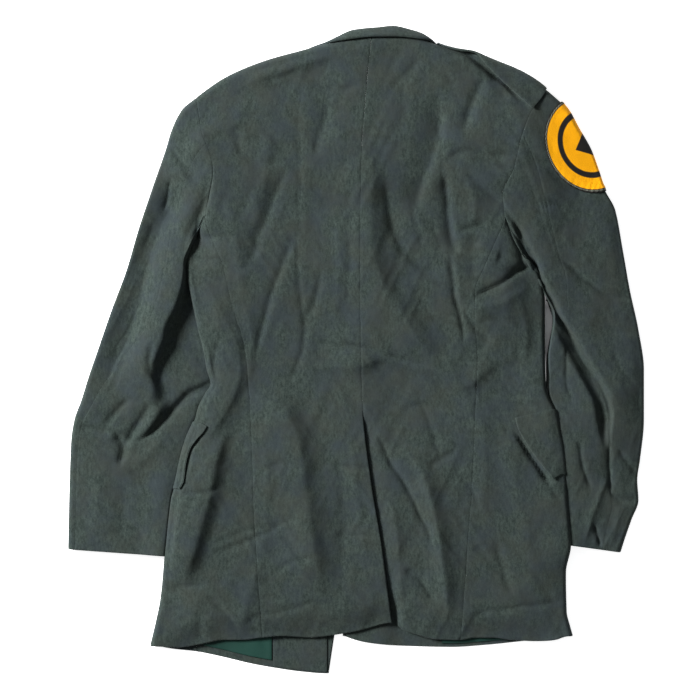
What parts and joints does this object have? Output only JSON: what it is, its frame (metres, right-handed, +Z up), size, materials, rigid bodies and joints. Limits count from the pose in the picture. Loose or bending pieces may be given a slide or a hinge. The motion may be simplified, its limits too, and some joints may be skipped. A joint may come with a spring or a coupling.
{
  "type": "dress tunic",
  "caption": "Single-breasted service coat in dark grey-green wool cloth, buttoned and laid face down, its back, vent, sleeves and collar upwards.",
  "frame": {"origin": "centre of the footprint of the coat, on the surface that it lies on", "axes": "+X towards the wearer's right sleeve, +Y up the coat towards the collar, +Z up from the surface, out of the coat's back"},
  "size_m": [0.738, 0.8306, 0.0329],
  "materials": {
    "cloth": "matt woven wool, dark grey-green",
    "lining": "satin lining, dark teal",
    "patch": "embroidered felt, golden yellow",
    "brass": "polished"
  },
  "bodies": {
    "root": {"back_left": "cloth", "back_right": "cloth", "collar": "cloth", "epaulette_button_left": "brass", "epaulette_button_right": "brass", "epaulette_left": "cloth", "epaulette_right": "cloth", "facing_left": "cloth", "front_button_1": "brass", "front_button_2": "brass", "front_button_3": "brass", "front_button_4": "brass", "front_left": "cloth", "front_right": "cloth", "lapel_left": "cloth", "lapel_right": "cloth", "lining_left": "lining", "lining_right": "lining", "pocket_flap_left": "cloth", "pocket_flap_right": "cloth", "side_left": "cloth", "side_right": "cloth", "sleeve_patch": "patch", "top_sleeve_left": "cloth", "top_sleeve_right": "cloth", "under_sleeve_left": "cloth", "under_sleeve_right": "cloth"}
  },
  "joints": []
}
